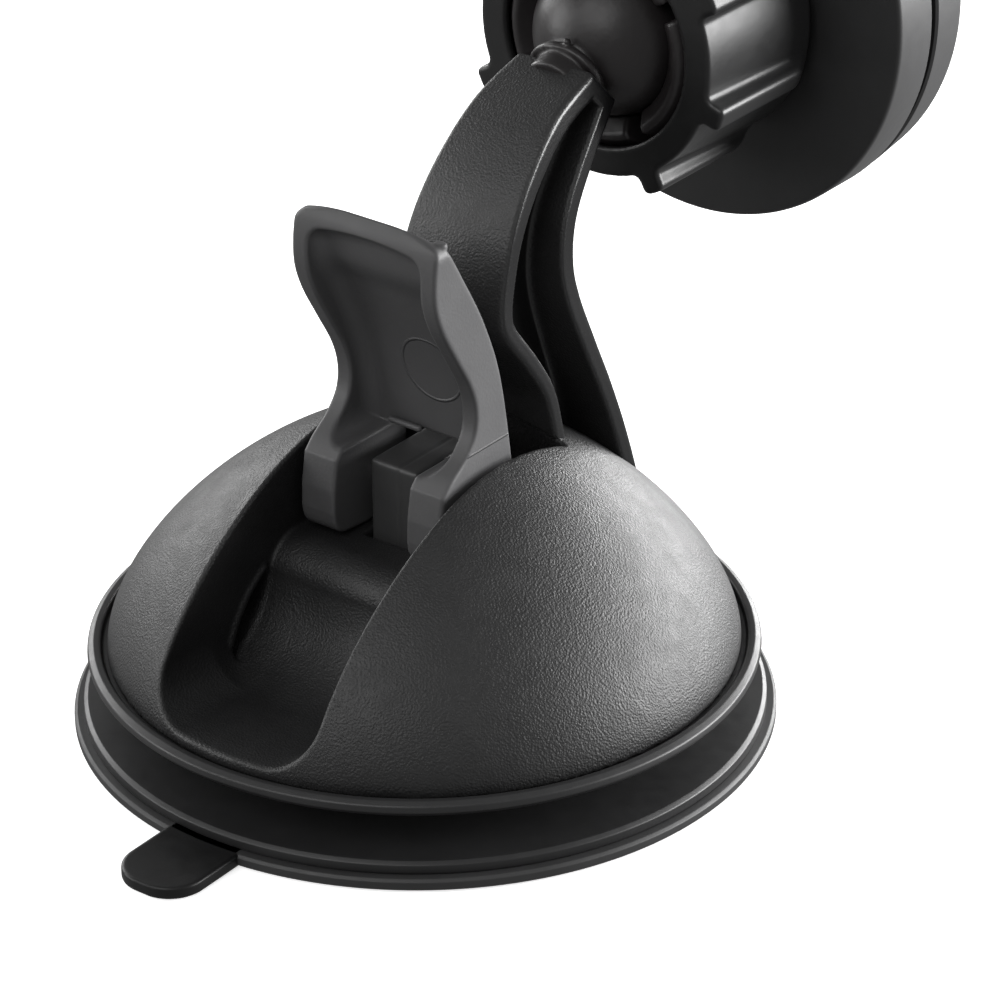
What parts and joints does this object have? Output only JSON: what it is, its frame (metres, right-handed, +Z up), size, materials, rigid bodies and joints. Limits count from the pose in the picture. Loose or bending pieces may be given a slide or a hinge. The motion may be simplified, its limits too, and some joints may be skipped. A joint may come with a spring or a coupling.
{
  "type": "dashboard suction mount",
  "caption": "Lever-locked suction-cup dashboard mount with an arched arm, a ball joint with a ribbed lock nut, and a round magnetic holder head.",
  "frame": {"origin": "centre of the suction pad's flat underside", "axes": "+Z up from the surface that the pad grips, +Y towards the holder head, -Y towards the lever and pull tab, X along the lever's pin"},
  "size_m": [0.075, 0.1101, 0.0921],
  "materials": {
    "textured_black": "spark-eroded satin black",
    "black_plastic": "satin black",
    "grey_plastic": "satin mid grey",
    "white_plastic": "natural acetal",
    "soft_black": "smooth semi-gloss elastomer",
    "gel": "tacky glossy gel",
    "rubber": "matte silicone",
    "steel": "plated",
    "magnet": "nickel plated"
  },
  "bodies": {
    "base": {"gel_pad": "gel", "suction_disc": "soft_black", "pull_stem": "black_plastic", "lever_pin": "steel"},
    "lever": {"cam_lever": "grey_plastic"},
    "housing": {"dome_housing": "textured_black", "base_ring": "black_plastic", "arm": "textured_black", "arm_screws": "steel", "ball_stud": "black_plastic"},
    "tilt_link": {"friction_pad": "rubber"},
    "pan_link": {"pressure_cup": "white_plastic"},
    "head": {"head_back_cover": "black_plastic", "steel_yoke": "steel", "magnets": "magnet", "magnet_tray": "black_plastic", "head_screws": "steel", "front_cover": "black_plastic", "face_pad": "rubber"},
    "nut": {"lock_nut": "black_plastic"}
  },
  "joints": [
    {"name": "lever_fold", "type": "hinge", "parent": "base", "child": "lever", "pos_m": [0, 0, 0.026], "axis": [1, 0, 0], "range_deg": [0, 100]},
    {"name": "dome_press", "type": "slide", "parent": "base", "child": "housing", "axis": [0, 0, -1], "range_m": [0, 0.0044]},
    {"name": "ball_tilt", "type": "hinge", "parent": "housing", "child": "tilt_link", "pos_m": [0, 0.0341, 0.0662], "axis": [1, 0, 0], "range_deg": [-15, 30]},
    {"name": "ball_pan", "type": "hinge", "parent": "tilt_link", "child": "pan_link", "pos_m": [0, 0.0341, 0.0662], "axis": [0, 0, 1], "range_deg": [-15, 15]},
    {"name": "head_spin", "type": "hinge", "parent": "pan_link", "child": "head", "pos_m": [0, 0.0341, 0.0662], "axis": [0, 1, 0], "continuous": true},
    {"name": "nut_turn", "type": "hinge", "parent": "head", "child": "nut", "pos_m": [0, 0.0341, 0.0662], "axis": [0, 1, 0], "range_deg": [0, 90]}
  ],
  "couplings": [
    {"joint": "lever_fold", "follows": "dome_press", "rad_per_m": 396.67}
  ]
}
